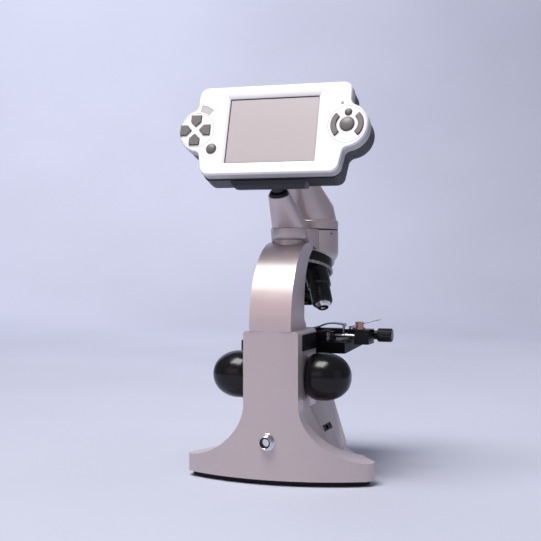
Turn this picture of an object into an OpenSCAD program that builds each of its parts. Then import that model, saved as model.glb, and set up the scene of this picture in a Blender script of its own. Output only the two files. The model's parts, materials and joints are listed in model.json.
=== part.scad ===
/* [Base] */
// Half the distance between the centres of the two wing ends
wing_x = 65; // [60:1:72]
// Radius of the rounded wing ends
wing_r = 10; // [8:0.5:11]
// Height of the top of the wing ends
wing_top = 17.3; // [15:0.5:20]
// Radius of the rear face seen from above
rear_r = 157; // [140:1:180]
// Distance from the head's upright axis to the rear face
rear_dist = 103.3; // [100:0.5:108]
// Height of the black sole under the casting
sole_h = 4.4; // [3.5:0.1:6]
// Inset of the sole from the casting's edge
sole_inset = 3.5; // [2.5:0.5:5]
// Radius of the lamp hump at its foot
hump_r = 32.5; // [30:0.5:36]
// Radius of the lamp hump at its top
hump_top_r = 19; // [17:0.5:22]
// Height of the lamp hump
hump_h = 58; // [54:1:60]

/* [Column and arm] */
// Half width of the lower column
column_w = 21.8; // [20:0.2:24]
// Height of the top of the lower column
column_top = 116.6; // [112:0.2:120]
// Height where the flare of the base begins
flare_top = 60; // [56:1:64]
// Half width of the upper arm
arm_w = 16.5; // [15:0.1:18]
// Depth of the arm's curved back seen from the side
arm_back_d = 54; // [50:1:58]
// Height of the arm's top behind the neck
arm_top = 184.6; // [182:0.2:188]
// Radius of the arm's throat seen from the side
arm_throat_r = 46; // [42:1:50]
// Distance from the head's upright axis to the throat's upright wall
throat_dist = 66.3; // [64:0.5:70]
// Height of the seam between arm and rotating head
seam_z = 195.6; // [194:0.2:198]
// Radius of the round head seat
seat_r = 26; // [24:0.5:28]

/* [Nosepiece] */
// Tilt of the turret axis from upright, which is also the tilt of the objectives from that axis
turret_tilt = 20; // [18:0.5:22]
// Radius of the silver turret ring
ring_r = 25; // [24:0.5:26]
// Height of the silver turret ring
ring_h = 2.5; // [2:0.1:3]
// Height of the ring's centre
ring_z = 162.6; // [161:0.2:164]
// Distance of the ring's centre behind the upright optical axis
ring_back = 14.1; // [13:0.1:15]
// Distance of an objective's seat from the turret axis
seat_ring = 16.6; // [16:0.1:17]
// Length of the low power objective
low_len = 20.5; // [18:0.5:24]
// Length of the middle power objective
mid_len = 27; // [24:0.5:32]
// Length of the high power objective
high_len = 35.5; // [34:0.5:38]
// Radius of the upper part of an objective
objective_r = 9.6; // [8.5:0.1:10]

/* [Focus] */
// Height of the focus shaft
shaft_z = 80.6; // [78:0.2:84]
// Distance from the head's upright axis to the focus shaft
shaft_dist = 73; // [70:0.5:76]
// Radius of the focus shaft
shaft_r = 3; // [2.5:0.1:4]
// Radius of a focus knob
knob_r = 18.6; // [16:0.2:20]
// Length of a focus knob
knob_len = 33; // [28:1:36]
// Pitch radius of the focus pinion
pinion_r = 8; // [7:0.5:9]

/* [Stage] */
// Half width of the stage
stage_w = 43.5; // [40:0.5:46]
// Depth of the stage from front to rear
stage_d = 96.7; // [90:0.1:100]
// Distance from the head's upright axis to the stage's rear edge
stage_back = 44.3; // [42:0.1:46]
// Height of the stage's top face
stage_z = 105; // [103:0.5:107]
// Height of the stage plate's rim
stage_h = 9; // [8:0.5:11]
// Radius of the light opening in the stage
stage_hole_r = 14; // [10:0.5:16]

/* [Mechanical stage] */
// Half width of the carriage block along the rack
block_half = 10; // [8:0.5:12]
// Height of the carriage block
block_h = 11.8; // [11:0.2:14]
// Radius of the black fore-and-aft knob
y_knob_r = 5.6; // [5:0.1:7]
// Radius of the copper cross knob
x_knob_r = 4.6; // [4:0.1:5.5]
// Pitch radius of both small pinions
small_pinion_r = 3; // [2.6:0.1:3.4]

/* [Head] */
// Lean of the trunk, neck and collar towards the rear
head_lean = 28; // [25:0.5:31]
// Thickness of the head's base plate
head_base_h = 8.5; // [7:0.5:10]
// Radius of the collar on the neck
collar_r = 7.4; // [6.5:0.1:8.5]
// Height of the collar above the neck
collar_h = 3.2; // [2.5:0.1:4]

/* [Display] */
// Height of the display's centre
lcd_z = 269.85; // [268:0.5:272]
// Distance from the head's upright axis to the display's front face
lcd_dist = 100.2; // [98:0.2:103]
// Lean of the display from upright
lcd_tilt = 17.4; // [15:0.2:20]
// Half width of the screen
screen_w = 35.5; // [34:0.5:37]
// Half height of the screen
screen_h = 26.3; // [25:0.2:28]
// Half width of the display's body above the lobes
body_w = 61; // [58:0.5:63]
// Half width of the display's body at its bottom
foot_w = 55; // [52:0.5:57]
// Top edge of the display above the screen's centre
face_top = 36.5; // [35:0.5:38]
// Bottom edge of the display below the screen's centre
face_bottom = 34.8; // [34:0.2:37]
// Distance of a lobe's centre from the middle of the display
lobe_x = 57.4; // [55:0.2:60]
// Radius of a lobe
lobe_r = 17.6; // [16:0.2:19]
// Depth of the pale front shell
front_d = 10; // [8:0.5:12]
// Depth of the dark rear shell
rear_d = 11; // [9:0.5:13]
// Wall of the display's shells
wall = 2; // [1.6:0.1:2.6]

/* [Clearances] */
// Gap between pieces that move past each other
gap = 0.3; // [0.2:0.05:0.4]
// Radial gap of a shaft in its bore
fit = 0.05; // [0.03:0.01:0.08]
// Travel of a key
key_travel = 0.8; // [0.6:0.1:1]

/* [Hidden] */
$fn = 64;

// Round pieces inside the optics and the head share this upright axis
axis_y = -29.3;
column_rear = axis_y + rear_dist;
column_front = column_rear - 52;
throat_y = axis_y + throat_dist;
stage_rear = axis_y + stage_back;
stage_front = stage_rear - stage_d;
shaft_y = axis_y + shaft_dist;
rear_mid_y = column_rear - rear_r;
wing_y = rear_mid_y + sqrt(pow(rear_r - wing_r, 2) - wing_x * wing_x);
hump_y = axis_y - 1.7;
flank_r = 176;
flank_turn = 47.4;
flank_x = wing_x + (wing_r + flank_r) * sin(flank_turn);
flank_y = wing_y - (wing_r + flank_r) * cos(flank_turn);
flare_power = 1.85;
shoulder_r = 3;
foot_fillet = 2.3;
arm_back_z = column_top + 1.4;
throat_mid_y = throat_y - arm_throat_r;
throat_mid_z = column_top + 21;
neck_y = axis_y + 52.1;
neck_r = 13.9;
rim_drop = 10.6;
bore_r = 9;
lamp_r = 11;
jack_x = 2.4;
jack_z = 32.9;
jack_r = 4.2;
switch_y = axis_y + 48.8;
switch_z = 38.2;
switch_x = 30.7;
switch_lean = 23.8;
switch_len = 21;
switch_h = 5.2;

function arc(cx, cy, r, a0, a1, n) =
    [for (i = [0 : n]) [cx + r * cos(a0 + (a1 - a0) * i / n), cy + r * sin(a0 + (a1 - a0) * i / n)]];
function flip(points) = [for (i = [len(points) - 1 : -1 : 0]) [-points[i][0], points[i][1]]];

// A solid from an outline in Y and Z, with its thickness along X
module side_profile(half, points) {
    translate([-half, 0, 0]) rotate([90, 0, 90]) linear_extrude(2 * half) polygon(points);
}

// A solid from an outline in X and Z, with its depth along Y
module rear_profile(front, rear, points) {
    translate([0, rear, 0]) rotate([90, 0, 0]) linear_extrude(rear - front) polygon(points);
}

// Places children on the turret axis, with +Z pointing down along it
module on_turret() {
    translate([0, axis_y + ring_back, ring_z]) rotate([180 + turret_tilt, 0, 0]) children();
}

// Places children at an objective's seat, with +Z pointing along the objective
module on_seat(turn) {
    on_turret() rotate([0, 0, turn]) translate([0, seat_ring, seat_drop])
        rotate([-turret_tilt, 0, 0]) children();
}
seat_drop = ring_h / 2 + (ring_r - seat_ring) * tan(turret_tilt);

// Base: the flared casting that carries the column
flare_side = [for (i = [0 : 18]) let (t = 90 * i / 18)
    [wing_x + wing_r - (wing_x + wing_r - column_w) * pow(cos(t), 2 / flare_power),
     flare_top - (flare_top - wing_top) * pow(sin(t), 2 / flare_power)]];
housing_half = concat(
    [[wing_x + wing_r + 1, sole_h - 0.4], [wing_x + wing_r + 1, wing_top]],
    [for (i = [18 : -1 : 0]) flare_side[i]],
    arc(column_w - shoulder_r, column_top - shoulder_r, shoulder_r, 0, 90, 6));
housing_outline = concat(housing_half, flip(housing_half));

plan_half = concat(
    arc(0, rear_mid_y, rear_r, 90, acos(wing_x / (rear_r - wing_r)), 14),
    arc(wing_x, wing_y, wing_r, acos(wing_x / (rear_r - wing_r)), flank_turn - 90, 10),
    arc(flank_x, flank_y, flank_r, 90 + flank_turn, 163.5, 14));

module base_plan() {
    polygon(concat(flip(plan_half), [for (p = plan_half) p]));
    translate([0, hump_y]) circle(r = hump_r, $fn = 96);
}

// The flare sinks towards the front along a quarter ellipse
flare_back = column_rear - 14;
flare_side_view = concat(
    [[hump_y - hump_r - 1, 0], [column_rear + 1, 0], [column_rear + 1, flare_top], [flare_back, flare_top]],
    [for (i = [1 : 14]) let (t = 90 * i / 14)
        [flare_back - 42 + 42 * cos(t), flare_top - (flare_top - wing_top) * sin(t)]],
    [[hump_y - hump_r - 1, wing_top]]);

module base_body() {
    intersection() {
        translate([0, 0, sole_h - 0.4]) linear_extrude(column_top) base_plan();
        rear_profile(hump_y - hump_r - 2, column_rear + 2, housing_outline);
        side_profile(wing_x + wing_r + 2, flare_side_view);
    }
    intersection() {
        translate([0, 0, sole_h]) linear_extrude(column_top) base_plan();
        rear_profile(column_front, column_rear + 2, column_outline);
    }
}

column_half = concat([[column_w, sole_h]], arc(column_w - shoulder_r, column_top - shoulder_r, shoulder_r, 0, 90, 6));
column_outline = concat(column_half, flip(column_half));

module hump_body() {
    hull() {
        translate([0, hump_y, sole_h]) cylinder(r = hump_r, h = 12.6, $fn = 72);
        translate([0, hump_y, 17]) cylinder(r1 = hump_r, r2 = hump_top_r + 2, h = hump_h - 19, $fn = 72);
        translate([0, hump_y, 17]) cylinder(r1 = hump_r - 3, r2 = hump_top_r, h = hump_h - 17, $fn = 72);
        rear_profile(column_front - 14, column_front + 12, [[-40, 6], [40, 6], [40, 17],
            [column_w + 1, 56], [column_w - 4, 60], [-column_w + 4, 60], [-column_w - 1, 56], [-40, 17]]);
        rear_profile(flare_back - 2, flare_back, [[-30, 6], [30, 6], [27, 30], [column_w - 0.3, 47],
            [column_w - 3, 58], [-column_w + 3, 58], [-column_w + 0.3, 47], [-27, 30]]);
    }
}

module lamp_axis(z) {
    translate([0, axis_y, z]) children();
}

module inlet_axis() {
    translate([jack_x, column_rear, jack_z]) rotate([-90, 0, 0]) children();
}

module focus_axis() {
    translate([0, shaft_y, shaft_z]) rotate([0, 90, 0]) children();
}

module base_housing() {
    color("silver") difference() {
        union() {
            base_body();
            hump_body();
        }
        lamp_axis(lamp_floor) cylinder(r = lamp_r, h = hump_h);
        inlet_axis() translate([0, 0, -16]) cylinder(r = jack_r, h = 20);
        focus_axis() cylinder(r = shaft_r + fit, h = 4 * column_w, center = true);
        focus_axis() cylinder(r = pinion_r + 1.8, h = 2 * rack_half + 4, center = true);
        translate([-rack_half - slot_gap, column_front - 1, shaft_z - 32])
            cube([2 * (rack_half + slot_gap), shaft_y - column_front, 64]);
        switch_pocket();
        for (p = sole_screw_places) translate([p[0], p[1], 0]) cylinder(r = 1.6, h = 12);
        for (s = [-1, 1]) translate([s * 10, column_rear - 12, column_top - 10]) cylinder(r = 2, h = 12);
    }
}
lamp_floor = hump_h - 22;
rack_half = 4;
slot_gap = 0.6;
sole_screw_places = [[-48, wing_y - 6], [48, wing_y - 6], [-24, hump_y], [24, hump_y]];

// Places children on the wall beside the column, with -X pointing out of it
module on_switch() {
    translate([-switch_x, switch_y, switch_z]) rotate([0, switch_lean, 0]) children();
}

module switch_pocket() {
    on_switch() translate([-8, -switch_len / 2, -switch_h / 2]) cube([14, switch_len, switch_h]);
}

// The black sole that closes the casting from below
module base_sole() {
    color("#1c1c1e") difference() {
        translate([0, 0, foot_h]) linear_extrude(sole_h - 0.4 - foot_h) offset_plan();
        for (p = sole_screw_places) translate([p[0], p[1], -1]) cylinder(r = 1.7, h = 8);
    }
}
foot_h = 0.8;

// The base's outline drawn in by the sole's inset
module offset_plan() {
    polygon(concat(flip(sole_half), [for (p = sole_half) p]));
    translate([0, hump_y]) circle(r = hump_r - sole_inset, $fn = 96);
}
sole_half = concat(
    arc(0, rear_mid_y, rear_r - sole_inset, 90, acos(wing_x / (rear_r - wing_r)), 14),
    arc(wing_x, wing_y, wing_r - sole_inset, acos(wing_x / (rear_r - wing_r)), flank_turn - 90, 10),
    arc(flank_x, flank_y, flank_r + sole_inset, 90 + flank_turn, 163.5, 14));

module rubber_feet() {
    color("#151515") for (p = foot_places) translate([p[0], p[1], 0]) cylinder(r = 5, h = foot_h);
}
foot_places = [[-56, wing_y + 3], [56, wing_y + 3], [-15, hump_y - 12], [15, hump_y - 12]];

module sole_screws() {
    color("gainsboro") for (p = sole_screw_places) translate([p[0], p[1], foot_h - 0.6]) difference() {
        union() {
            cylinder(r = 3, h = 0.6);
            cylinder(r = 1.5, h = 10);
        }
        translate([-0.4, -2, -0.1]) cube([0.8, 4, 0.4]);
    }
}

// Round power inlet: a black barrel with its centre contact
module inlet_body() {
    color("#202022") inlet_axis() difference() {
        translate([0, 0, -15]) cylinder(r = jack_r - fit, h = 15.6);
        translate([0, 0, -10]) cylinder(r = 3.1, h = 12);
    }
    color("silver") inlet_axis() translate([0, 0, -10.5]) cylinder(r = 1, h = 10);
}

module inlet_nut() {
    color("gainsboro") inlet_axis() difference() {
        translate([0, 0, 0.05]) union() {
            cylinder(r = 6.2, h = 0.6);
            cylinder(r = 5.3, h = 2, $fn = 6);
            cylinder(r = 4.9, h = 2.3);
        }
        translate([0, 0, -1]) cylinder(r = jack_r, h = 5);
    }
}

module switch_bezel() {
    color("#1b1b1d") on_switch() difference() {
        translate([-0.6, -switch_len / 2 + fit, -switch_h / 2 + fit])
            cube([6, switch_len - 2 * fit, switch_h - 2 * fit]);
        translate([-2, -6.5, -1.5]) cube([4.5, 13, 3]);
    }
}

module switch_slider() {
    color("#2c2c2e") on_switch() translate([-1.4, -2.4, -1.5 + gap]) cube([3.6, 4.8, 3 - 2 * gap]);
}

// A round board with a bright emitter on it
module lamp_board() {
    color("#1d6b3a") lamp_axis(lamp_floor) cylinder(r = lamp_r - 0.3, h = 1.6);
    color("lightyellow") lamp_axis(lamp_floor + 1.6) {
        cylinder(r = 4, h = 1.4);
        translate([0, 0, 1.4]) intersection() {
            sphere(r = 3.2);
            cylinder(r = 4, h = 4);
        }
    }
}

module lamp_window() {
    color("ghostwhite") lamp_axis(hump_h - 3) {
        cylinder(r = lamp_r - fit, h = 3);
        translate([0, 0, 3]) cylinder(r = lamp_r - 2, h = 0.8);
    }
}

// Upper arm: two round arcs seen from the side, ending in the round seat of the head
arm_foot_front = throat_y - 8;
throat_end = 62;
arm_side = concat(
    [[arm_foot_front, column_top], [column_rear, column_top]],
    [for (i = [0 : 24]) let (t = 90 * i / 24)
        [column_rear - arm_back_d * (1 - cos(t)), arm_back_z + (arm_top - arm_back_z) * sin(t)]],
    [[neck_y, seam_z], [axis_y, seam_z], [axis_y, seam_z - 14]],
    [[throat_mid_y + arm_throat_r * cos(throat_end), throat_mid_z + arm_throat_r * sin(throat_end)]],
    arc(throat_mid_y, throat_mid_z, arm_throat_r, throat_end, 0, 20),
    [[throat_y, column_top + 8]]);

// Edge of the arm seen from the rear, with a fillet at its foot
arm_edge = concat([[arm_w + foot_fillet, column_top - 1], [arm_w + foot_fillet, column_top]],
    arc(arm_w + foot_fillet, column_top + foot_fillet, foot_fillet, 270, 180, 6), [[arm_w, column_top + 30]]);

module rim_plane_below() {
    on_turret() translate([-60, -29, -rim_drop]) cube([120, 89, 80]);
}

module arm_casting() {
    color("silver") difference() {
        union() {
            intersection() {
                side_profile(arm_w, arm_side);
                rear_profile(axis_y - 40, column_rear + 2, concat(
                    arm_edge, [[arm_w - 0.9, seam_z + 1]], flip(concat(arm_edge, [[arm_w - 0.9, seam_z + 1]]))));
            }
            translate([0, axis_y, 0]) rotate_extrude($fn = 128)
                polygon(concat([[0, 150], [seat_r - 8, 152]],
                    arc(seat_r - 12, seam_z - 18, 12, -40, 0, 5),
                    [[seat_r, seam_z - 16], [seat_r, seam_z - 0.8], [seat_r - 0.8, seam_z], [0, seam_z]]));
            translate([0, neck_y, seam_z - 18]) rotate_extrude($fn = 96) polygon([[0, 0], [neck_r - 2.6, 0],
                [neck_r - 2.6, 8.6], [neck_r - 1, 9.4], [neck_r, 11.4], [neck_r, 18], [0, 18]]);
            translate([-neck_r + 4, axis_y, seam_z - 12]) cube([2 * neck_r - 8, neck_y - axis_y, 12]);
        }
        rim_plane_below();
        lamp_axis(140) cylinder(r = bore_r, h = 70);
        lamp_axis(seam_z - 6) cylinder(r = dovetail_r + fit, h = 10);
        lock_axis() cylinder(r = 1.4 + fit, h = 30);
        for (s = [-1, 1]) translate([s * 10, column_rear - 12, column_top - 1]) cylinder(r = 2, h = 8);
    }
}
dovetail_r = 18;

// The head's lock screw points inwards from the side of the seat
module lock_axis() {
    translate([0, axis_y, seam_z - 3.2]) rotate([0, 0, 156]) translate([dovetail_r + 0.4, 0, 0])
        rotate([0, 90, 0]) children();
}

module guide_rail() {
    color("#2a2a2c") translate([-8, column_front - 3, rail_high - 3]) cube([16, 3, 3]);
    color("#2a2a2c") for (s = [0, 1]) mirror([s, 0, 0]) {
        translate([6, column_front - 3, rail_low]) cube([5, 3, rail_high - rail_low]);
        translate([6, column_front - 5.5, rail_low]) cube([8, 2.5, rail_high - rail_low]);
    }
}
rail_low = flare_top + 1;
rail_high = column_top - 4;

// The outline of a gear with straight flanks
module gear(teeth, size, height) {
    step = 360 / teeth;
    linear_extrude(height) polygon([for (i = [0 : teeth - 1]) for (q = [[-0.34, -1.15], [-0.14, 0.8], [0.14, 0.8],
        [0.34, -1.15]]) let (r = size * teeth / 2 + q[1] * size, a = step * i + q[0] * step)
        [r * cos(a), r * sin(a)]]);
}

// A toothed bar along +X with its teeth towards +Y, a gap at its middle, its pitch line on the X axis
module toothed_bar(teeth, size, depth, height) {
    step = PI * size;
    half = teeth * step / 2;
    linear_extrude(height) polygon(concat([[-half, -depth]],
        [for (i = [0 : teeth - 1]) for (q = [[0.16, -1.15], [0.36, 0.8], [0.64, 0.8], [0.84, -1.15]])
            [-half + (i + q[0]) * step, q[1] * size]], [[half, -depth]]));
}
focus_teeth = 16;
focus_module = 2 * pinion_r / focus_teeth;
small_teeth = 12;
small_module = 2 * small_pinion_r / small_teeth;

module focus_shaft() {
    color("gainsboro") focus_axis() {
        cylinder(r = shaft_r, h = 2 * (column_w + knob_len - 6), center = true);
        translate([0, 0, -rack_half - 0.5]) rotate([0, 0, 90]) gear(focus_teeth, focus_module, 2 * rack_half + 1);
    }
}

// A glossy round knob with a domed outer end
dome = knob_len * 0.63;
module focus_knob() {
    translate([column_w + 2 * gap, shaft_y, shaft_z]) rotate([0, 90, 0]) difference() {
        rotate_extrude($fn = 96) polygon(concat([[0, 0], [knob_r - 5.5, 0], [knob_r - 3.2, 0.8],
            [knob_r - 1.3, 3], [knob_r - 0.3, 6.5], [knob_r, 10], [knob_r, knob_len - dome]],
            [for (i = [1 : 14]) let (t = 90 * i / 14)
                [2 + (knob_r - 2) * cos(t), knob_len - dome + dome * sin(t)]],
            [[0, knob_len]]));
        translate([0, 0, -1]) cylinder(r = shaft_r, h = knob_len - 6 - 2 * gap + 1);
    }
}

module focus_knob_left() {
    color("#101012") focus_knob();
}

module focus_knob_right() {
    color("#101012") mirror([1, 0, 0]) focus_knob();
}

module focus_rack() {
    color("silver") translate([rack_half, shaft_y - pinion_r, shaft_z + PI * focus_module]) rotate([0, -90, 0])
        toothed_bar(14, focus_module, rack_back, 2 * rack_half);
}

// The carrier wraps the rail and holds the stage on a bracket
module stage_carrier() {
    color("#2a2a2c") difference() {
        union() {
            translate([-19, column_front - 14, shaft_z - 9]) cube([38, 13.4, stage_z - stage_h - shaft_z + 9]);
            side_profile(19, [[column_front - 1, stage_z - stage_h - 6], [column_front - 14, stage_z - stage_h - 14],
                [stage_rear - 32, stage_z - stage_h - 2], [stage_rear - 32, stage_z - plate_h],
                [stage_rear - 3, stage_z - plate_h], [stage_rear - 3, stage_z - stage_h],
                [column_front - 1, stage_z - stage_h]]);
        }
        translate([-14 - gap, column_front - 5.5 - gap, shaft_z - 30])
            cube([28 + 2 * gap, 2.5 + 2 * gap, 80]);
        translate([-11 - gap, column_front - 5, shaft_z - 30]) cube([22 + 2 * gap, 10, 80]);
    }
    color("#2a2a2c") translate([-rack_half, column_front - 6.5, shaft_z - 10])
        cube([2 * rack_half, shaft_y - pinion_r - rack_back - column_front + 6.5, 22]);
}
rack_back = 5;
plate_h = 4;

// A black tray: its rim is deep at the rear and thin at the front
module stage_plate() {
    color("#1a1a1c") difference() {
        side_profile(stage_w, [[stage_rear, stage_z - stage_h], [stage_rear, stage_z], [stage_front, stage_z],
            [stage_front, stage_z - 5], [stage_rear - 8, stage_z - stage_h]]);
        side_profile(stage_w - 3, [[stage_rear - 3, stage_z - stage_h - 1], [stage_rear - 3, stage_z - plate_h],
            [stage_front + 3, stage_z - plate_h], [stage_front + 3, stage_z - stage_h - 1]]);
        lamp_axis(stage_z - plate_h - 1) cylinder(r = stage_hole_r - 3, h = 8);
        lamp_axis(stage_z - 2) cylinder(r = stage_hole_r, h = 4);
        diaphragm_axis(stage_z - plate_h - 1) cylinder(r = 1.5, h = 3.5);
        }
}

module condenser_lens() {
    color("aliceblue") lamp_axis(stage_z - 2) cylinder(r = stage_hole_r - fit, h = 1.6);
}

module diaphragm_axis(z) {
    translate([0, axis_y - disc_arm, z]) children();
}
disc_arm = 16;
disc_r = 24;

// A disc whose holes of growing size turn into the light
module diaphragm_disc() {
    color("#232325") diaphragm_axis(stage_z - plate_h - gap - 1.6) difference() {
        cylinder(r = disc_r, h = 1.6);
        translate([0, 0, -1]) cylinder(r = 2 + fit, h = 4);
        for (i = [0 : 4]) rotate([0, 0, 90 + 72 * i]) translate([disc_arm, 0, -1])
            cylinder(r = 5.5 - i, h = 4);
        for (i = [0 : 23]) rotate([0, 0, 15 * i]) translate([disc_r + 0.6, 0, -1]) cylinder(r = 1.2, h = 4);
    }
}

module diaphragm_screw() {
    color("gainsboro") diaphragm_axis(stage_z - plate_h - 2 * gap - 3.2) difference() {
        union() {
            cylinder(r = 3.6, h = 1.6);
            cylinder(r = 2, h = 3.2 + 2 * gap);
            cylinder(r = 1.5, h = 5.5);
        }
        translate([-0.5, -4, -1]) cube([1, 8, 1.7]);
    }
}

// Mechanical stage: its pieces are placed from the shaft of the black knob
knob_y = axis_y + 9.3;
knob_z = stage_z + 4;
pinion_x = -stage_w + 2.5;
rack_pitch_z = knob_z - small_pinion_r;
box_in = 10;
box_out = -30;
box_y = knob_y + 9.3;
box_d = 15.5;
box_h = 7.4;
block_in = -stage_w - 3.5;
block_out = block_in - 12;
block_y = knob_y + 8;
bar_y = box_y - gap;
bar_t = 3;
bar_z = stage_z + 5.4;
bar_h = 3.4;
drive_x = -stage_w - 6.5;
drive_y = bar_y - small_module + small_pinion_r;
rod_y = box_y + 6;
rod_z = stage_z + 4;
guide_x = -10;

// Two bars on the stage: the toothed one at its edge and the plain guide under the carriage
module carriage_rack() {
    color("#3a3a3d") {
        translate([pinion_x - 2.2, knob_y - 7 * PI * small_module, rack_pitch_z]) rotate([90, 0, 90])
            toothed_bar(48, small_module, rack_pitch_z - stage_z, 4.4);
        translate([guide_x - 4, stage_rear - 29, stage_z]) cube([8, 27, 1]);
    }
}

module carriage_box() {
    color("#1d1d20") difference() {
        translate([box_out, box_y, stage_z + gap]) cube([box_in - box_out, box_d, box_h - gap]);
        translate([guide_x - 4 - gap, box_y - 1, stage_z - 1]) cube([8 + 2 * gap, box_d + 2, 2 + gap]);
        translate([box_out - 1, rod_y, rod_z]) rotate([0, 90, 0]) cylinder(r = 1.4, h = 20);
    }
    color("#1d1d20") translate([box_out + 3, box_y + 4, stage_z + box_h]) cube([box_in - box_out - 6, 8, 0.8]);
}

module guide_rods() {
    color("gainsboro") translate([box_out + 18, rod_y, rod_z]) rotate([0, -90, 0])
        cylinder(r = 1.4, h = box_out + 18 - block_out - 2);
}

module carriage_block() {
    color("#262628") difference() {
        translate([block_out, block_y - block_half, stage_z + 9 - block_h])
            cube([block_in - block_out, 2 * block_half, block_h]);
        translate([block_out - 1, bar_y - bar_t - gap, bar_z - gap]) cube([30, bar_t + 2 * gap, 10]);
        translate([drive_x, drive_y, bar_z - gap]) cylinder(r = small_pinion_r + 0.9, h = 10);
        translate([drive_x, drive_y, stage_z - 1]) cylinder(r = 1.2 + fit, h = 10);
        translate([block_out - 1, knob_y, knob_z]) rotate([0, 90, 0]) cylinder(r = 1.6 + fit, h = 30);
        translate([block_out + 2, rod_y, rod_z]) rotate([0, 90, 0]) cylinder(r = 1.4, h = 30);
    }
}

// The black knob turns the pinion on the stage's toothed bar
module y_knob() {
    color("#131315") translate([-75 + 0.2, knob_y, knob_z]) rotate([0, 90, 0]) difference() {
        rotate_extrude() polygon([[0, 0], [y_knob_r - 0.8, 0], [y_knob_r, 0.8], [y_knob_r, 11.4],
    [y_knob_r - 0.6, 12], [3.7, 12], [3.7, 15], [0, 15]]);
        for (i = [0 : 15]) rotate([0, 0, 22.5 * i]) translate([y_knob_r + 0.35, 0, 1.4])
            cylinder(r = 0.6, h = 9.4, $fn = 16);
    }
    color("silver") translate([-75 + 15.2, knob_y, knob_z]) rotate([0, 90, 0]) {
        cylinder(r = 1.6, h = 75 - 15.2 + pinion_x + 3);
        translate([0, 0, 75 - 15.2 + pinion_x - 2]) gear(small_teeth, small_module, 4);
    }
}

// The toothed bar carries the specimen holder across the stage
module cross_slide() {
    color("#4a4a4e") {
        translate([drive_x, bar_y - small_module, bar_z]) toothed_bar(14, small_module, bar_t - small_module, bar_h);
        translate([drive_x + 10.9, bar_y - bar_t, bar_z]) cube([box_in - drive_x - 5.9, bar_t - 0.5, bar_h]);
    }
}

module specimen_holder() {
    color("silver") {
        rear_profile(bar_y - bar_t - 1.4, bar_y - bar_t, [[-36, stage_z + 1.8], [42, stage_z + 1.8],
            [42, bar_z], [box_in, bar_z + bar_h + 0.8], [-36, bar_z + bar_h + 0.8]]);
        translate([38.3, axis_y - 14, stage_z + 1.4]) cube([3.7, bar_y - bar_t - axis_y + 13, 2]);
        translate([34, axis_y - 14, stage_z + 1.4]) cube([5, 2.6, 1.2]);
        rear_profile(bar_y - bar_t - 1.4, bar_y + 5, concat(
            [[-9, bar_z + bar_h + 0.02], [-9, bar_z + bar_h + 0.8]],
            arc(-28, bar_z - 15, 24, 62, 96, 8), [[-36.8, stage_z + 13.6], [-37.6, stage_z + 12.8],
            [-37.6, stage_z + 11], [-36.4, stage_z + 11], [-36.4, stage_z + 12.2]],
            arc(-28, bar_z - 15, 22.8, 97, 64, 8), [[-13, bar_z + bar_h + 0.02]]));
        translate([-37.6, bar_y + 0.7, stage_z + 6]) cube([1.2, 4.3, 6]);
    }
}

module holder_screws() {
    color("gainsboro") for (z = [1.9, 5.4]) translate([box_out + 2.6, box_y + box_d, stage_z + z])
        rotate([-90, 0, 0]) difference() {
            cylinder(r = 1.6, h = 1.2);
            translate([-0.3, -2, 0.7]) cube([0.6, 4, 1]);
        }
}

// The knurled copper knob turns the upright pinion behind the cross slide
module x_knob() {
    color("#c98a78") translate([drive_x, drive_y, stage_z + 9 + gap]) difference() {
        union() {
            cylinder(r = x_knob_r, h = 1.4);
            cylinder(r = x_knob_r - 1.2, h = 6);
        }
        for (i = [0 : 15]) rotate([0, 0, 22.5 * i]) translate([x_knob_r - 1, 0, 2.4])
            cylinder(r = 0.4, h = 5, $fn = 16);
    }
    color("silver") translate([drive_x, drive_y, stage_z + 1]) {
        cylinder(r = 1.2, h = 8 + gap);
        translate([0, 0, bar_z - stage_z - 1]) gear(small_teeth, small_module, bar_h - 0.3);
    }
}

// A sprung arm that holds the glass slide, with its bent wire tail
finger_x = -stage_w + 2.5;
module spring_finger() {
    color("silver") translate([finger_x, bar_y - bar_t / 2 - 0.3, bar_z + bar_h + 0.1]) {
        cylinder(r = 1, h = 2.4);
        translate([-1, -13, 0.6]) cube([2, 13, 1.2]);
        translate([-1, -13, -7.2]) cube([2, 1.2, 7.9]);
        translate([-1, -15.4, -7.2]) cube([3, 3.4, 1.2]);
        translate([0, 0, 2.1]) rotate([0, 0, 196]) rotate([0, 77, 0]) cylinder(r = 0.4, h = 26, $fn = 16);
    }
}

// Nosepiece: a fixed black cap under the arm and a turret that turns on a tilted pivot
module nosepiece_base() {
    color("#19191b") difference() {
        on_turret() translate([0, 0, -rim_drop + 0.02]) rotate_extrude($fn = 96) polygon([[0, 0],
            [seat_r - 4.5, 0], [seat_r - 2.4, 1.2], [ring_r - 1, 5.5], [ring_r - 1, rim_drop - ring_h / 2 - gap],
            [0, rim_drop - ring_h / 2 - gap]]);
        lamp_axis(130) cylinder(r = 5, h = 60);
        on_turret() translate([0, 0, -8]) cylinder(r = pivot_r, h = 20);
    }
}
pivot_r = 2.5;
cone_tip = ring_h / 2 + ring_r * tan(turret_tilt);

module turret_pivot() {
    color("gainsboro") on_turret() difference() {
        union() {
            translate([0, 0, -7.5]) cylinder(r = pivot_r, h = 7.5 + cone_tip - 1);
            translate([0, 0, cone_tip - 1.2]) cylinder(r = 4.4, h = 2);
        }
        translate([-0.6, -6, cone_tip]) cube([1.2, 12, 3]);
    }
}

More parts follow.
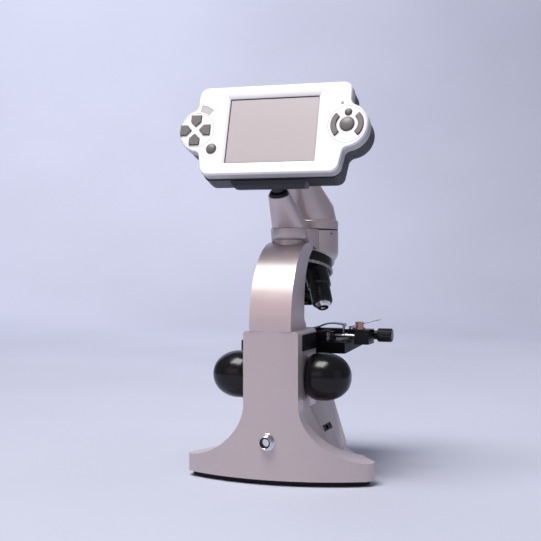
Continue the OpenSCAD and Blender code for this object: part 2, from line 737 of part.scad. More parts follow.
module turret_disc() {
    color("#202023") difference() {
        on_turret() rotate_extrude($fn = 96) polygon([[pivot_r + fit, -ring_h / 2],
            [ring_r - 3, -ring_h / 2], [ring_r - 3, ring_h / 2],
            [ring_r - 1, ring_h / 2], [ring_r - 1.8, ring_h / 2 + 0.5],
            [4.8, cone_tip - 1.8], [pivot_r + fit, cone_tip - 1.8]]);
        for (turn = seat_turns) on_seat(turn) translate([0, 0, -20]) cylinder(r = 4.5, h = 24);
    }
}
seat_turns = [0, 240, 120];

// The bright knurled ring round the turret
module turret_ring() {
    color("gainsboro") on_turret() difference() {
        translate([0, 0, -ring_h / 2]) cylinder(r = ring_r, h = ring_h, $fn = 96);
        translate([0, 0, -ring_h]) cylinder(r = ring_r - 3, h = 2 * ring_h);
        for (i = [0 : 35]) rotate([0, 0, 10 * i]) translate([ring_r + 0.4, 0, -ring_h])
            cylinder(r = 0.8, h = 2 * ring_h, $fn = 16);
    }
}

// An objective: a wide sleeve, a step and a narrower nose round a clear bore
module objective(turn, len) {
    on_seat(turn) rotate_extrude() polygon([[2.6, -2.4], [4.4, -2.4], [4.4, 0], [objective_r - 0.8, 0],
        [objective_r, 0.8], [objective_r, len * 0.42], [objective_r - 1.2, len * 0.46],
        [objective_r - 1.2, len - 5.5], [objective_r - 2, len - 4], [objective_r - 3, len - 3],
        [2.6, len - 3]]);
}

module low_objective() {
    color("#161618") objective(seat_turns[0], low_len);
}

module middle_objective() {
    color("#161618") objective(seat_turns[1], mid_len);
}

module high_objective() {
    color("#161618") objective(seat_turns[2], high_len);
}

// The bright end cap of each objective with its small front lens
module objective_tips() {
    lens = [low_len, mid_len, high_len];
    for (i = [0 : 2]) on_seat(seat_turns[i]) {
        color("gainsboro") translate([0, 0, lens[i] - 3]) difference() {
            rotate_extrude() polygon([[0, 0], [objective_r - 3.2, 0], [objective_r - 4.4, 1.8],
                [objective_r - 5.4, 3], [0, 3]]);
            translate([0, 0, 1]) cylinder(r = 2, h = 3);
        }
        color("lightsteelblue") translate([0, 0, lens[i] - 2]) cylinder(r = 2 - fit, h = 1.2);
    }
}

// Head: a base plate, a leaning trunk over the optics and a neck that carries the display
head_z = seam_z + gap;
plate_top = seam_z + head_base_h;
module head_housing() {
    color("silver") difference() {
        union() {
            translate([0, axis_y, head_z]) rotate_extrude($fn = 128) polygon(concat([[0, 0],
                [seat_r - 0.8, 0], [seat_r, 0.8], [seat_r, head_base_h - 3]],
                arc(seat_r - 3, head_base_h - 3, 3, 0, 80, 4), [[0, head_base_h]]));
            translate([-neck_r + 4, axis_y, head_z]) cube([2 * neck_r - 8, neck_y - axis_y, head_base_h - 2]);
            head_trunk();
            head_neck();
        }
        lamp_axis(head_z - 1) cylinder(r = bore_r, h = 24);
        lamp_axis(head_z - 1) cylinder(r = bore_r + 3, h = 5);
    }
    color("silver") lamp_axis(head_z - 5) difference() {
        cylinder(r = dovetail_r, h = 5.02);
        translate([0, 0, -1]) cylinder(r = bore_r, h = 8);
    }
}

module head_trunk() {
    hull() {
        translate([0, axis_y, plate_top - 0.5]) cylinder(r = seat_r - 1.6, h = 0.5, $fn = 64);
        translate([0, axis_y + 22, 237]) rotate([-head_lean, 0, 0]) cylinder(r = 11.5, h = 2, $fn = 64);
        translate([0, axis_y + 15, 226]) rotate([-head_lean, 0, 0]) cylinder(r = 15, h = 2, $fn = 64);
        translate([0, axis_y + 4, 213]) rotate([-head_lean / 2, 0, 0]) cylinder(r = 23, h = 1, $fn = 64);
    }
}

module head_neck() {
    hull() {
        translate([0, neck_y, head_z]) cylinder(r = neck_r, h = 3, $fn = 96);
        neck_top() translate([0, 0, -1.5]) cylinder(r = collar_r + 1, h = 1.5, $fn = 48);
    }
}

neck_top_y = axis_y + 79.9;
neck_top_z = 221.4;

// Places children at the top of the neck, with +Z along the lean
module neck_top() {
    translate([0, neck_top_y, neck_top_z]) rotate([-head_lean, 0, 0]) children();
}

module head_lock_screw() {
    color("gainsboro") lock_axis() difference() {
        cylinder(r = 1.4, h = seat_r - dovetail_r - 1);
        translate([0, 0, seat_r - dovetail_r - 2]) cylinder(r = 0.8, h = 4, $fn = 6);
    }
}

module head_collar() {
    color("#1a1a1c") neck_top() translate([0, 0, 0.05]) rotate_extrude() polygon([[0, 0], [collar_r, 0],
        [collar_r, collar_h * 0.5], [collar_r - 0.6, collar_h * 0.8], [collar_r - 2, collar_h], [0, collar_h]]);
}

// The camera's board and sensor sit at the top of the head's bore
module camera_module() {
    color("#1d6b3a") lamp_axis(head_z + 19) translate([-6, -6, 0]) cube([12, 12, 1.4]);
    color("#333338") lamp_axis(head_z + 17.4) translate([-3.5, -3.5, 0]) cube([7, 7, 1.6]);
}

module relay_lens() {
    color("lightsteelblue") lamp_axis(head_z + 0.5) cylinder(r = bore_r + 3 - fit, h = 3);
}

// Display: every piece is placed in the frame of its front face
module on_display() {
    translate([0, axis_y + lcd_dist, lcd_z]) rotate([90 - lcd_tilt, 0, 180]) children();
}

// The outline of the display: a wide body with a round lobe at each side, joined by fillets
corner_r = 7;
fillet_r = 5;
waist_w = 56.5;
lobe_y = 1;
upper_x = body_w + fillet_r - lobe_x;
lower_x = waist_w + fillet_r - lobe_x;
upper_turn = acos(upper_x / (lobe_r + fillet_r));
lower_turn = acos(lower_x / (lobe_r + fillet_r));
function outline_half(inset, low) = concat(
    arc(body_w - corner_r, face_top - corner_r, corner_r - inset, 90, 0, 6),
    arc(body_w + fillet_r, lobe_y + (lobe_r + fillet_r) * sin(upper_turn), fillet_r + inset, 180,
        180 + upper_turn, 6),
    arc(lobe_x, lobe_y, lobe_r - inset, upper_turn, -lower_turn, 20),
    arc(waist_w + fillet_r, lobe_y - (lobe_r + fillet_r) * sin(lower_turn), fillet_r + inset,
        180 - lower_turn, 180, 6),
    arc(foot_w - corner_r, corner_r - face_bottom - low, corner_r - inset, 0, -90, 6));
module display_outline(inset, low) {
    polygon(concat(flip(outline_half(inset, low)), outline_half(inset, low)));
}

// A point of the display's frame, given as height and depth, in the side view
function display_point(y, z) = [axis_y + lcd_dist - y * sin(lcd_tilt) + z * cos(lcd_tilt),
    lcd_z + y * cos(lcd_tilt) + z * sin(lcd_tilt)];
front_low = 1.2;
rear_low = 3;
back_z = -front_d - rear_d;
bevel = 3;
under_front = display_point(-face_bottom - rear_low - 0.02, -front_d);
under_rear = display_point(-face_bottom - rear_low - 0.02, back_z + bevel);
bevel_low = display_point(-0.93 * (face_bottom + rear_low) - 0.02, back_z - 0.02);

// A ledge under the display with slanted ends, on a short stem from the collar
module display_bracket() {
    color("#2b2b2e") difference() {
        union() {
            intersection() {
                side_profile(40, [[under_rear[0] - 7, 225], [under_rear[0] - 5, 224.4], [under_front[0] - 4, 224.4],
                    [under_front[0] - 0.5, 227.4], under_front, under_rear, bevel_low,
                    [under_rear[0] - 7, bevel_low[1] + 2]]);
                rear_profile(axis_y + 80, axis_y + 110, [[34.5, 236], [32.5, 230.6], [28.5, 224.3],
                    [-25.5, 224.3], [-29, 230.6], [-31, 236]]);
            }
            neck_top() translate([0, 0, collar_h + 0.07]) cylinder(r = 5, h = 6);
            translate([-10, neck_top_y - 2.1, 227]) cube([20, 13, 4]);
        }
        translate([0, under_rear[0] - 9, 227.4]) rotate([-90, 0, 0]) translate([5, 0, 4.6]) cylinder(r = 5, h = 3);
    }
}

module display_rear_shell() {
    color("#303034") on_display() difference() {
        union() {
            translate([0, 0, back_z + bevel]) linear_extrude(rear_d - bevel) display_outline(0.5, rear_low);
            translate([0, 0, back_z + bevel]) mirror([0, 0, 1])
                linear_extrude(bevel, scale = [0.95, 0.93], slices = 1, $fn = 0) display_outline(0.5, rear_low);
        }
        translate([0, 0, back_z + wall]) linear_extrude(rear_d) display_outline(wall + 2, rear_low);
    }
}

keys_x = -61.4;
keys_y = 0.9;
main_x = 58.9;
main_y = 1.4;
led_x = body_w - 6.9;
led_y = 18.8;
key_top = 1.2;
flange_z = -wall - gap - 1.2;
board_z = -7.4;

// A key shaped like a small house whose tip points at the centre of the four
module house(grow) {
    polygon([[-4 - grow, 12 + grow], [4 + grow, 12 + grow], [4 + grow, 7 - grow * 0.4], [0, 3.3 - grow * 1.4],
        [-4 - grow, 7 - grow * 0.4]]);
}

module arc_band(r_in, r_out, a0, a1) {
    polygon(concat(arc(0, 0, r_in, a0, a1, 12), arc(0, 0, r_out, a1, a0, 12)));
}

module light_plate_area(grow) {
    translate([keys_x, keys_y]) arc_band(15.7 - grow, 21 + grow, 50 - 2 * grow, 80 + 2 * grow);
}

module display_front_shell() {
    color("white") on_display() difference() {
        union() {
            translate([0, 0, -front_d]) linear_extrude(front_d - 1.2) display_outline(0, front_low);
            translate([0, 0, -1.2]) linear_extrude(1.2, scale = [0.988, 0.98], slices = 1, $fn = 0)
                display_outline(0, front_low);
        }
        translate([0, 0, -front_d - 1]) linear_extrude(front_d - wall + 1) display_outline(wall, front_low);
        translate([0, 0, -wall]) linear_extrude(wall + 0.01, scale = [1 + 2.8 / screen_w, 1 + 2.8 / screen_h], slices = 1, $fn = 0)
            square([2 * screen_w, 2 * screen_h], center = true);
        translate([0, 0, -wall - 1]) linear_extrude(2) square([2 * screen_w, 2 * screen_h], center = true);
        for (turn = [0 : 3]) translate([keys_x, keys_y, -5]) rotate([0, 0, 90 * turn])
            linear_extrude(8) house(gap);
        translate([-46.7, -14.9, -5]) cylinder(r = 3.9 + gap, h = 8);
        translate([main_x, main_y, -5]) cylinder(r = 5.5 + gap, h = 8);
        for (turn = [0, 180]) translate([main_x, main_y, -5]) rotate([0, 0, turn])
            linear_extrude(8) arc_band(8.5 - gap, 12.5 + gap, -47, 47);
        translate([main_x + 0.4, main_y + 9.6, -5]) cylinder(r = 2.6 + gap, h = 8);
        translate([led_x, led_y, -5]) cylinder(r = 1.2 + fit, h = 8);
        translate([0, 0, -0.9]) linear_extrude(3) light_plate_area(0.1);
    }
}

module screen_panel() {
    color("#c9bfc4") on_display() translate([-screen_w - 1.5, -screen_h - 1.5, -wall - 3])
        cube([2 * screen_w + 3, 2 * screen_h + 3, 2.98]);
}

module display_board() {
    color("#1d6b3a") on_display() translate([0, 0, board_z - 1.6]) linear_extrude(1.6) {
        square([104, 56], center = true);
        translate([keys_x, keys_y]) circle(r = 11.4);
        translate([main_x, main_y]) circle(r = 12.6);
    }
}

// A key's cap, its retaining rim behind the shell and its stem down to the board
module key_stack() {
    translate([0, 0, flange_z + 0.6]) linear_extrude(key_top - flange_z - 0.6) children(0);
    translate([0, 0, flange_z]) linear_extrude(1.2) children(1);
    translate([0, 0, board_z + key_travel + 0.2]) linear_extrude(flange_z - board_z - key_travel) children(2);
}

module direction_key(turn) {
    color("#3a3a3c") on_display() translate([keys_x, keys_y, 0]) rotate([0, 0, 90 * turn]) key_stack() {
        house(0);
        intersection() {
            house(0.8);
            square([20, 20.8], center = true);
        }
        translate([0, 8.4]) circle(r = 2);
    }
}

module key_up() { direction_key(0); }
module key_left() { direction_key(1); }
module key_down() { direction_key(2); }
module key_right() { direction_key(3); }

// A round key with a softly rounded top
module round_key(x, y, r) {
    on_display() translate([x, y, 0]) {
        rotate_extrude() polygon([[0, flange_z], [r + 0.65, flange_z], [r + 0.65, flange_z + 1.2], [r, flange_z + 1.2],
            [r, key_top - 0.6], [r - 0.5, key_top - 0.1], [r - 1.2, key_top + 0.2], [0, key_top + 0.4]]);
        translate([0, 0, board_z + key_travel + 0.2]) cylinder(r = r / 2, h = flange_z - board_z - key_travel);
    }
}

module round_button() { color("#2c2c2e") round_key(-46.7, -14.9, 3.9); }
module main_button() { color("#3a3a3c") round_key(main_x, main_y, 5.5); }
module small_button() { color("#3a3a3c") round_key(main_x + 0.4, main_y + 9.6, 2.6); }

module arc_key(turn) {
    color("#3a3a3c") on_display() translate([main_x, main_y, 0]) rotate([0, 0, turn]) key_stack() {
        arc_band(8.5, 12.5, -45, 45);
        arc_band(7.9, 13.1, -48, 48);
        translate([10.5, 0]) circle(r = 1.6);
    }
}

module arc_key_right() { arc_key(0); }
module arc_key_left() { arc_key(180); }

module status_led() {
    color("lightgreen") on_display() translate([led_x, led_y, -5]) {
        cylinder(r = 1.2, h = 5);
        cylinder(r = 1.7, h = 2.6);
        translate([0, 0, 5]) cylinder(r = 0.9, h = 0.4);
    }
}

module light_plate() {
    color("#d8d8da") on_display() translate([0, 0, -0.88]) linear_extrude(0.6) light_plate_area(0);
}

base_housing();
base_sole();
rubber_feet();
sole_screws();
inlet_body();
inlet_nut();
switch_bezel();
switch_slider();
lamp_board();
lamp_window();
arm_casting();
guide_rail();
focus_shaft();
focus_knob_left();
focus_knob_right();
focus_rack();
stage_carrier();
stage_plate();
condenser_lens();
diaphragm_disc();
diaphragm_screw();
carriage_rack();
carriage_box();
guide_rods();
carriage_block();
y_knob();
cross_slide();
specimen_holder();
holder_screws();
x_knob();
spring_finger();
nosepiece_base();
turret_pivot();
turret_disc();
turret_ring();
low_objective();
middle_objective();
high_objective();
objective_tips();
head_housing();
head_lock_screw();
head_collar();
camera_module();
relay_lens();
display_bracket();
display_rear_shell();
display_front_shell();
screen_panel();
display_board();
key_up();
key_left();
key_down();
key_right();
round_button();
main_button();
arc_key_left();
arc_key_right();
small_button();
status_led();
light_plate();
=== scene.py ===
"""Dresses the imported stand: materials, softened copies of the CAD pieces, small details, light and camera."""
import json
import math

import bmesh
import bpy
from mathutils import Matrix, Vector

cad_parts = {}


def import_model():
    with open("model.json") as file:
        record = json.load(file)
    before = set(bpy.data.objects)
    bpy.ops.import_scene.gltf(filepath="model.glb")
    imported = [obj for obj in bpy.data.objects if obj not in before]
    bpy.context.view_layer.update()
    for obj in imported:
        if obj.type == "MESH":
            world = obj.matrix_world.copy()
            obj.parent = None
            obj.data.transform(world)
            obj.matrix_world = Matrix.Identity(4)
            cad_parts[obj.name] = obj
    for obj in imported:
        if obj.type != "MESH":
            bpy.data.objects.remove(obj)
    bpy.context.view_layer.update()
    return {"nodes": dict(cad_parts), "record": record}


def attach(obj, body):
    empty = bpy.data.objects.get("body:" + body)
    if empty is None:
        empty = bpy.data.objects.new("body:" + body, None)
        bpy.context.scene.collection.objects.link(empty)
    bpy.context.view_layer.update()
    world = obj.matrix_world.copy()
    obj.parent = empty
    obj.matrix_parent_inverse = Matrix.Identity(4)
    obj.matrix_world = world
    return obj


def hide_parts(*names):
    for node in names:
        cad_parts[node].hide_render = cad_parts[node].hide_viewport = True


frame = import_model()
nodes = frame["nodes"]
body_of = {n: b for b, ns in frame["record"]["behaviour"]["bodies"].items() for n in ns}
slot_of = {s["node"]: s["material_slot"] for s in frame["record"]["subparts"]}


# ---------------------------------------------------------------- materials
def new_material(name, color, rough, metal=0.0, coat=0.0, coat_rough=0.1, spec=0.5):
    m = bpy.data.materials.new(name)
    m.use_nodes = True
    inputs = m.node_tree.nodes["Principled BSDF"].inputs
    inputs["Base Color"].default_value = (*color, 1)
    inputs["Roughness"].default_value = rough
    inputs["Metallic"].default_value = metal
    inputs["Coat Weight"].default_value = coat
    inputs["Coat Roughness"].default_value = coat_rough
    inputs["Specular IOR Level"].default_value = spec
    return m


def noise(m, scale, detail=3.0):
    """The value of a noise that lies in the object's own space."""
    t = m.node_tree
    place = t.nodes.new("ShaderNodeTexCoord")
    n = t.nodes.new("ShaderNodeTexNoise")
    n.inputs["Scale"].default_value = scale
    n.inputs["Detail"].default_value = detail
    n.inputs["Roughness"].default_value = 0.5
    t.links.new(place.outputs["Object"], n.inputs["Vector"])
    return n.outputs["Fac"]


def ramp(m, source, low, high):
    """Turns the middle of a noise's range into a blend of two colours."""
    r = m.node_tree.nodes.new("ShaderNodeValToRGB")
    first, last = r.color_ramp.elements
    first.position, first.color = 0.3, (*low, 1)
    last.position, last.color = 0.7, (*high, 1)
    m.node_tree.links.new(source, r.inputs["Fac"])
    return r.outputs["Color"]


def into(m, socket, out):
    m.node_tree.links.new(out, m.node_tree.nodes["Principled BSDF"].inputs[socket])


def bump(m, source, strength, distance):
    b = m.node_tree.nodes.new("ShaderNodeBump")
    b.inputs["Strength"].default_value = strength
    b.inputs["Distance"].default_value = distance
    m.node_tree.links.new(source, b.inputs["Height"])
    into(m, "Normal", b.outputs["Normal"])


def tones(m, color, spread, scale, detail=3.0):
    """Mottles the colour by a share of itself, and returns the noise that does it."""
    n = noise(m, scale, detail)
    dark = tuple(c * (1 - spread) for c in color)
    light = tuple(min(1, c * (1 + spread)) for c in color)
    into(m, "Base Color", ramp(m, n, dark, light))
    return n


def roughs(m, value, spread, scale):
    """Varies the roughness about a value."""
    into(m, "Roughness", ramp(m, noise(m, scale), (value - spread,) * 3, (value + spread,) * 3))


def silver_paint():
    color = (0.58, 0.50, 0.505)
    m = new_material("silver_paint", color, 0.4, metal=0.6, coat=0.2, coat_rough=0.3)
    flakes = tones(m, color, 0.05, 2600, detail=2)
    roughs(m, 0.4, 0.05, 60)
    bump(m, flakes, 0.05, 0.0001)
    return m


def plastic(name, color, rough, grain=900.0, strength=0.12, coat=0.0, spec=0.5, spread=0.06):
    m = new_material(name, color, rough, coat=coat, coat_rough=0.08, spec=spec)
    grains = tones(m, color, spread, grain)
    roughs(m, rough, min(0.02 + spread * 0.4, rough * 0.4), 240)
    bump(m, grains, strength, 0.0001)
    return m


def bright_metal(name, color, rough):
    m = new_material(name, color, rough, metal=1.0)
    grains = tones(m, color, 0.05, 500)
    roughs(m, rough, rough * 0.35, 200)
    bump(m, grains, 0.06, 0.00005)
    return m


def lens_glass():
    rough = 0.03
    m = new_material("lens_glass", (0.82, 0.88, 0.92), rough, coat=0.4, coat_rough=0.02)
    m.node_tree.nodes["Principled BSDF"].inputs["Transmission Weight"].default_value = 0.9
    roughs(m, rough + 0.01, rough * 0.3, 120)
    return m


def make_materials():
    made = {"silver_paint": silver_paint(), "lens_glass": lens_glass()}
    for name, color, rough, look in (
        ("sole_black", (0.008, 0.008, 0.010), 0.6, dict(spec=0.2)),
        ("rubber", (0.010, 0.010, 0.010), 0.85, dict(strength=0.3, spec=0.2)),
        ("inlet_plastic", (0.008, 0.008, 0.008), 0.42, dict(spec=0.25)),
        ("board", (0.02, 0.13, 0.06), 0.35, {}),
        ("lamp_glass", (0.82, 0.84, 0.86), 0.2, dict(coat=0.6)),
        ("black_steel", (0.010, 0.010, 0.012), 0.36, dict(grain=2200, strength=0.08, spec=0.3)),
        ("knob_gloss", (0.004, 0.004, 0.005), 0.20, dict(strength=0.02, spec=0.34)),
        ("stage_black", (0.004, 0.004, 0.005), 0.42, dict(grain=2200, strength=0.1, spec=0.08)),
        ("slide_black", (0.010, 0.009, 0.009), 0.36, dict(grain=1800, strength=0.06, spec=0.25)),
        ("objective_black", (0.007, 0.007, 0.008), 0.30, dict(strength=0.04, spec=0.35)),
        ("charcoal_plastic", (0.034, 0.034, 0.044), 0.45, dict(spec=0.3)),
        ("front_white", (0.86, 0.85, 0.855), 0.34, dict(grain=3200, strength=0.03, coat=0.15, spread=0.015)),
        ("screen", (0.47, 0.42, 0.425), 0.30, dict(grain=3000, strength=0.01, coat=0.25, spread=0.01)),
        ("key_grey", (0.135, 0.122, 0.120), 0.38, dict(spread=0.05)),
        ("plate_grey", (0.47, 0.45, 0.455), 0.4, dict(strength=0.05)),
        ("led", (0.40, 0.43, 0.38), 0.25, dict(coat=0.5)),
    ):
        made[name] = plastic(name, color, rough, **look)
    for name, color, rough in (
        ("chrome", (0.72, 0.72, 0.74), 0.12),
        ("steel", (0.50, 0.50, 0.51), 0.28),
        ("holder_silver", (0.42, 0.42, 0.44), 0.3),
        ("copper", (0.62, 0.40, 0.34), 0.34),
        ("ring_silver", (0.46, 0.46, 0.48), 0.32),
    ):
        made[name] = bright_metal(name, color, rough)
    return made


MATERIALS = make_materials()

# ---------------------------------------------------------------- softened copies of CAD pieces
WELD = 0.00002                       # metres between points that become one
FLAT = math.radians(0.6)             # faces that turn less than this are joined
EDGE = 38.0                          # degrees from which an edge stays sharp and is softened


def smooth_by_angle(me, degrees):
    for p in me.polygons:
        p.use_smooth = True
    me.set_sharp_from_angle(angle=math.radians(degrees))


def soften(o, width, segments, degrees):
    """Rounds the sharp edges of an object."""
    b = o.modifiers.new("soft", "BEVEL")
    b.width = width
    b.segments = segments
    b.limit_method = "ANGLE"
    b.angle_limit = math.radians(degrees)
    b.harden_normals = True
    return b


def dress(name, width):
    """A copy of a CAD node with welded facets, smooth shading and softened edges stands for the node."""
    o = nodes[name].copy()
    o.data = nodes[name].data.copy()
    o.name = "soft_" + name
    for k in list(o.keys()):
        if k.startswith("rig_"):
            del o[k]
    o.parent = None
    bpy.context.scene.collection.objects.link(o)
    me = o.data
    bm = bmesh.new()
    bm.from_mesh(me)
    bmesh.ops.remove_doubles(bm, verts=bm.verts, dist=WELD)
    bmesh.ops.dissolve_limit(bm, angle_limit=FLAT, verts=bm.verts, edges=bm.edges)
    bm.to_mesh(me)
    bm.free()
    if me.has_custom_normals:
        bpy.context.view_layer.objects.active = o
        o.select_set(True)
        bpy.ops.mesh.customdata_custom_splitnormals_clear()
        o.select_set(False)
    smooth_by_angle(me, EDGE)
    if width:
        b = soften(o, width, 3 if width > 0.0004 else 2, EDGE)
        b.use_clamp_overlap = True
        b.miter_outer = "MITER_ARC"
    me.materials.clear()
    me.materials.append(MATERIALS[slot_of[name]])
    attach(o, body_of[name])
    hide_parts(name)


for name, o in nodes.items():
    o.data.materials.clear()
    o.data.materials.append(MATERIALS[slot_of[name]])

for names, width in (
    (("base_housing", "arm_casting"), 0.0008),
    (("head_housing", "stage_plate", "display_bracket"), 0.0006),
    (("display_front_shell",), 0.0009),
    (("stage_carrier", "carriage_block", "key_up", "key_left", "key_down", "key_right", "arc_key_left",
      "arc_key_right"), 0.0006),
    (("base_sole", "carriage_box", "light_plate", "guide_rail", "switch_bezel", "switch_slider"), 0.0003),
    (("cross_slide", "specimen_holder", "carriage_rack", "nosepiece_base", "spring_finger", "holder_screws",
      "turret_ring", "head_lock_screw", "diaphragm_screw"), 0.00015),
    (("focus_knob_left", "focus_knob_right", "low_objective", "middle_objective", "high_objective", "head_collar",
      "objective_tips", "turret_disc", "turret_pivot", "x_knob", "y_knob", "guide_rods", "main_button",
      "small_button", "round_button", "lamp_window", "status_led", "focus_shaft"), 0),
):
    for name in names:
        dress(name, width)


# ---------------------------------------------------------------- shapes, in millimetres
def arc(cx, cy, r, a, b, n):
    """Points on a circle from angle a to angle b, in degrees."""
    turns = [math.radians(a + (b - a) * i / n) for i in range(n + 1)]
    return [(cx + r * math.cos(t), cy + r * math.sin(t)) for t in turns]


def rounded(w, h, r, n=6):
    """Corner points of a rectangle with rounded corners, w wide and h high, about its middle."""
    x, y = w / 2 - r, h / 2 - r
    return (arc(x, y, r, 0, 90, n) + arc(-x, y, r, 90, 180, n) + arc(-x, -y, r, 180, 270, n)
            + arc(x, -y, r, 270, 360, n))


def lathe(bm, profile, steps=96, x=0.0, y=0.0):
    """Turns a profile of (radius, height) round an axis; its ends lie on the axis or meet."""
    rows = []
    for r, z in profile:
        if r == 0:
            rows.append([bm.verts.new((x, y, z))] * steps)
        else:
            rows.append([bm.verts.new((x + r * math.cos(2 * math.pi * i / steps),
                                       y + r * math.sin(2 * math.pi * i / steps), z)) for i in range(steps)])
    for a, b in zip(rows, rows[1:]):
        for i in range(steps):
            k = (i + 1) % steps
            ring = []
            for v in (a[i], b[i], b[k], a[k]):
                if v not in ring:
                    ring.append(v)
            if len(ring) > 2:
                bm.faces.new(ring)
    return bm


def loops(bm, rings, capped=False):
    """Joins closed rings of equal length, given as (points, height), and closes both ends if asked."""
    rows = [[bm.verts.new((x, y, z)) for x, y in points] for points, z in rings]
    n = len(rows[0])
    for a, b in zip(rows, rows[1:]):
        for i in range(n):
            bm.faces.new((a[i], a[(i + 1) % n], b[(i + 1) % n], b[i]))
    if capped:
        bm.faces.new(rows[0])
        bm.faces.new(rows[-1])
    return bm


def prism(bm, points, z0, z1):
    return loops(bm, ((points, z0), (points, z1)), capped=True)


# ---------------------------------------------------------------- small pieces made here
HERE = Matrix.Identity(4)
DISPLAY = (Matrix.Translation((0, 0.0709, 0.26985)) @ Matrix.Rotation(math.pi, 4, "Z")
           @ Matrix.Rotation(math.radians(72.6), 4, "X"))
INLET = Matrix.Translation((0.0024, 0.074, 0.0329)) @ Matrix.Rotation(math.radians(-90), 4, "X")
SIDE_WALL = (Matrix.Translation((-0.0218, 0.0425, 0.10725)) @ Matrix.Rotation(math.radians(-90), 4, "Z")
             @ Matrix.Rotation(math.radians(90), 4, "X"))


def piece(name, bm, slot, body, place=HERE, replaced=(), angle=35.0, width=0.0):
    """An object made here, in millimetres in the frame of its place, that rides on a body."""
    bmesh.ops.recalc_face_normals(bm, faces=bm.faces)
    me = bpy.data.meshes.new(name)
    bm.to_mesh(me)
    bm.free()
    me.transform(place @ Matrix.Scale(0.001, 4))
    smooth_by_angle(me, angle)
    me.materials.append(MATERIALS[slot])
    o = bpy.data.objects.new(name, me)
    bpy.context.scene.collection.objects.link(o)
    if width:
        soften(o, width, 3, angle)
    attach(o, body)
    if replaced:
        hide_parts(*replaced)


def inlet():
    """Chrome nut and threaded barrel of the round power inlet, with its black liner and pin."""
    bore, barrel, crest, washer, nut = 4.15, 4.9, 5.1, 6.6, 6.1
    pitch, turns, nut_top = 0.38, 7, 2.4
    thread = []
    for i in range(turns):
        z = 2.2 + pitch * i
        thread += [(barrel, z), (crest, z + 0.12), (crest, z + 0.2), (barrel, z + 0.32)]
    bm = lathe(bmesh.new(), [(bore, -0.5), (washer, -0.5), (washer, 0.5), (washer - 0.2, 0.7), (barrel, 0.7)] + thread
               + [(4.8, 5.0), (4.6, 5.15), (4.3, 5.15), (bore, 5.0), (bore, -0.5)])
    prism(bm, arc(0, 0, nut, 12, 312, 5), 0.7, nut_top)
    piece("inlet_socket", bm, "chrome", "root", INLET, ("inlet_nut",), width=0.00012)
    bm = lathe(bmesh.new(), [(0, -15), (4.1, -15), (4.1, 4.6), (3.9, 4.75), (3.3, 4.75), (3.15, 4.6), (3.1, -9.9),
                             (0, -10)])
    piece("inlet_liner", bm, "inlet_plastic", "root", INLET, ("inlet_body",))
    bm = lathe(bmesh.new(), [(0, -10.2), (1.0, -10.2), (1.0, 1.4), (0.8, 1.9), (0.4, 2.1), (0, 2.15)], 32)
    piece("inlet_pin", bm, "chrome", "root", INLET)


def joint_shade():
    """A black disc in the gap between the arm's seat and the turning head: the gap is real, its darkness is painted
    shade.
    """
    low, high = 195.55, 195.95
    bm = lathe(bmesh.new(), [(0, low), (25.75, low), (25.75, high), (0, high)], 128, y=-29.3)
    lathe(bm, [(0, low), (13.6, low), (13.6, high), (0, high)], y=22.8)
    prism(bm, [(-9, -20), (9, -20), (9, 22), (-9, 22)], low + 0.01, high - 0.01)
    piece("head_joint_shade", bm, "sole_black", "head")


def wall_trim():
    """Black trim strip on the column's -X wall, the right one seen from behind, level with the stage."""
    bm = prism(bmesh.new(), rounded(37, 12.5, 1.2), 0, 0.7)
    piece("wall_trim", bm, "stage_black", "root", SIDE_WALL, width=0.0002)


def display_outline(inset, low):
    """The display's outline: a wide body and a lobe at each side, joined by fillets."""
    corner, lobe, fillet, middle = 7, 17.6, 5, 1
    reach = lobe + fillet
    up = math.degrees(math.acos(8.6 / reach))
    down = math.degrees(math.acos(4.1 / reach))
    half = (arc(54, 29.5, corner - inset, 90, 0, 8)
            + arc(66, middle + reach * math.sin(math.radians(up)), fillet + inset, 180, 180 + up, 8)
            + arc(57.4, middle, lobe - inset, up, -down, 28)
            + arc(61.5, middle - reach * math.sin(math.radians(down)), fillet + inset, 180 - down, 180, 8)
            + arc(48, -27.8 - low, corner - inset, 0, -90, 8))
    return half + [(-x, y) for x, y in half[::-1]]


def display_back():
    """The dark rear shell with its rounded back edge, and the grey band round the front shell."""
    inset, round_start, round_r, lower = 0.5, -25, 4.5, 3
    rings = [(display_outline(3.2, lower), -10.2), (display_outline(inset, lower), -10.05),
             (display_outline(inset, lower), round_start)]
    for i in range(1, 9):
        t = math.radians(90 * i / 8)
        rings.append((display_outline(inset + round_r * (1 - math.cos(t)), lower), round_start - round_r * math.sin(t)))
    bm = loops(bmesh.new(), rings, capped=True)
    piece("display_back", bm, "charcoal_plastic", "head", DISPLAY, ("display_rear_shell",), angle=40)
    edge, band = display_outline(0.3, 1.2), display_outline(-0.07, 1.2)
    bm = loops(bmesh.new(), ((edge, -9.9), (band, -9.8), (band, -2.2), (edge, -2.1)))
    piece("display_band", bm, "plate_grey", "head", DISPLAY, angle=40)


def face_lines():
    """Grey rings round the two groups of keys, painted shade standing in for grooves, and the dark gasket that frames
    the screen: a real dark gap, widened on two sides into painted shade of the recess walls.
    """
    # The grey rings stand in for grooves round the keys: their grey is painted shade of the grooves.
    for name, x, y, r in (("pad_groove_shade", -60.2, 1.0, 14.0), ("dial_groove_shade", 58.9, 1.4, 14.7)):
        bm = lathe(bmesh.new(), [(r - 0.22, -0.02), (r - 0.2, 0.05), (r + 0.2, 0.05), (r + 0.22, -0.02)], 128, x, y)
        piece(name, bm, "plate_grey", "head", DISPLAY)
    # The gasket's hole is shifted so the strip is wider on two sides; that extra width is painted shade of the recess
    # walls.
    outer = rounded(71.0, 52.6, 0.3, 2)
    shade_shifted_inner = [(x + 0.35, y - 0.35) for x, y in rounded(70.1, 51.7, 0.3, 2)]
    bm = loops(bmesh.new(), ((outer, -2.3), (outer, -1.7), (shade_shifted_inner, -1.85), (shade_shifted_inner, -2.3)))
    piece("screen_gasket_shade", bm, "charcoal_plastic", "head", DISPLAY)


inlet()
joint_shade()
wall_trim()
display_back()
face_lines()


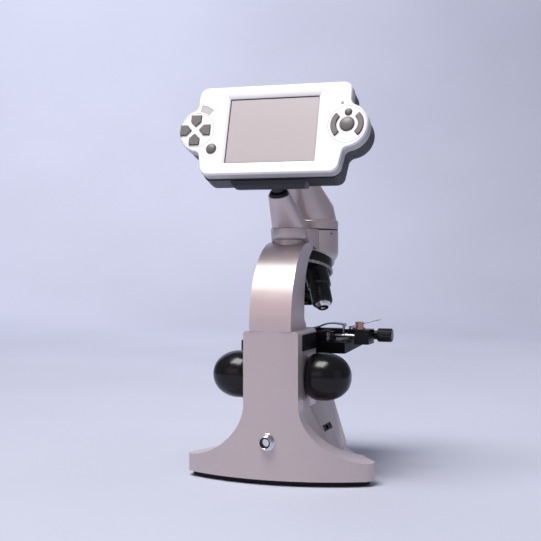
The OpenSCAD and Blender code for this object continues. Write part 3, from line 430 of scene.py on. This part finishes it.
# ---------------------------------------------------------------- floor, light, camera
def backdrop():
    """A pale floor that rises in one curve into the wall."""
    radius, depth, half, front, top = 0.9, -1.6, 6.0, 4.0, 5.0
    bend = [math.radians(a) for a in range(5, 91, 5)]
    line = ([(front, 0.0), (depth, 0.0)]
            + [(depth - radius * math.sin(t), radius * (1 - math.cos(t))) for t in bend]
            + [(depth - radius, top)])
    bm = bmesh.new()
    rows = [[bm.verts.new((x, y, z)) for x in (-half, half)] for y, z in line]
    for a, b in zip(rows, rows[1:]):
        bm.faces.new((a[0], a[1], b[1], b[0]))
    me = bpy.data.meshes.new("backdrop")
    bm.to_mesh(me)
    bm.free()
    smooth_by_angle(me, 60)
    me.materials.append(plastic("backdrop", (0.505, 0.525, 0.63), 0.9, grain=1.4, strength=0.0, spec=0.1))
    o = bpy.data.objects.new("backdrop", me)
    o.rotation_euler = (0, 0, math.radians(18))
    o.location = (0, 0, -0.0002)
    bpy.context.scene.collection.objects.link(o)


def area(name, place, target, size, watts, color):
    light = bpy.data.lights.new(name, "AREA")
    light.shape, light.size, light.size_y = "RECTANGLE", size[0], size[1]
    light.energy, light.color = watts, color
    o = bpy.data.objects.new(name, light)
    o.location = place
    o.rotation_euler = (Vector(target) - Vector(place)).to_track_quat("-Z", "Y").to_euler()
    bpy.context.scene.collection.objects.link(o)


def world():
    w = bpy.data.worlds.new("world")
    bpy.context.scene.world = w
    w.use_nodes = True
    inputs = w.node_tree.nodes["Background"].inputs
    inputs["Color"].default_value = (0.84, 0.84, 0.93, 1)
    inputs["Strength"].default_value = 0.28


def camera():
    """The photograph's view: its focal length and width in pixels, its place in metres and its direction."""
    sensor, width_px, focal_px = 36.0, 541.0, 1080.56
    ahead_x, ahead_y, down = 0.3074, -0.9516, math.radians(0.68)
    cam = bpy.data.cameras.new("camera")
    cam.sensor_width = sensor
    cam.lens = sensor * focal_px / width_px
    cam.shift_x = -0.5 / width_px
    cam.clip_start = 0.01
    o = bpy.data.objects.new("camera", cam)
    o.location = (-0.2512, 0.8484, 0.1723)
    ahead = Vector((ahead_x * math.cos(down), ahead_y * math.cos(down), -math.sin(down)))
    o.rotation_euler = ahead.to_track_quat("-Z", "Y").to_euler()
    bpy.context.scene.collection.objects.link(o)
    bpy.context.scene.camera = o


backdrop()
area("key", (0.35, 0.8, 2.0), (0, 0, 0.15), (1.1, 1.1), 54, (1.0, 0.985, 0.965))
area("front", (0.95, 2.3, 0.85), (0, 0, 0.15), (1.6, 1.0), 3.6, (1.0, 0.62, 0.70))
area("fill", (-1.6, 0.9, 0.5), (0, 0, 0.1), (1.2, 1.2), 1.0, (0.94, 0.96, 1.0))
area("wall", (1.3, -0.9, 1.9), (0.9, -2.5, 1.4), (2.4, 1.2), 38, (0.97, 0.97, 1.0))
world()
bpy.context.scene.view_settings.view_transform = "Standard"
camera()
